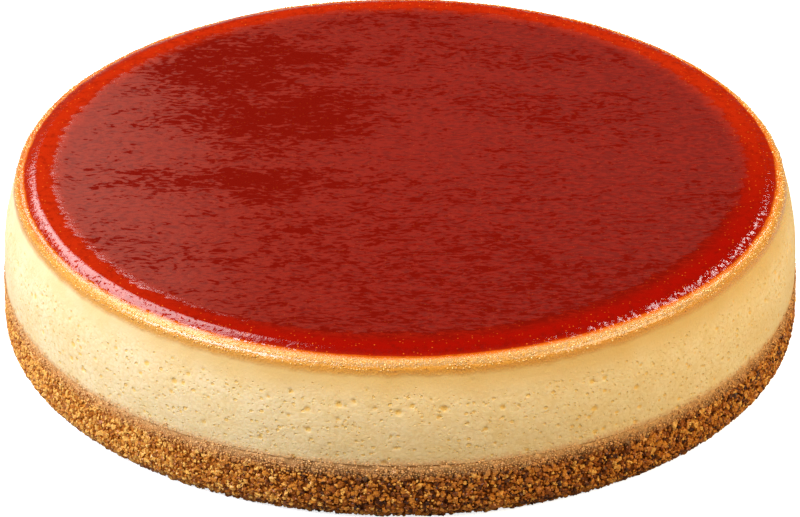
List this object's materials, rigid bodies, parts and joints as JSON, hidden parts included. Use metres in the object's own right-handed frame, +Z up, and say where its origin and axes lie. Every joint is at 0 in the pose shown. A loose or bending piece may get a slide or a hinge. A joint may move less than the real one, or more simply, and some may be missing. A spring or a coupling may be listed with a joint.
{
  "type": "whole glazed baked cheesecake",
  "caption": "Whole round baked cheesecake: a crumb base, a pale pored cheese filling with a rounded rim, and a thin glossy red glaze on top.",
  "frame": {"origin": "middle of the flat underside of the crumb base, on the surface that the cake stands on", "axes": "+Z up through the middle of the cake; -Y is the side that faces the camera, +X is to its right"},
  "size_m": [0.2295, 0.2299, 0.05],
  "materials": {
    "crumb": "matt baked biscuit crumb, with a faint buttery shine on the grains",
    "filling": "satin baked cheese, soft and slightly translucent",
    "glaze": "wet high gloss with fine ripples"
  },
  "bodies": {
    "root": {"crumb_base": "crumb", "cheese_filling": "filling", "glaze": "glaze"}
  },
  "joints": []
}
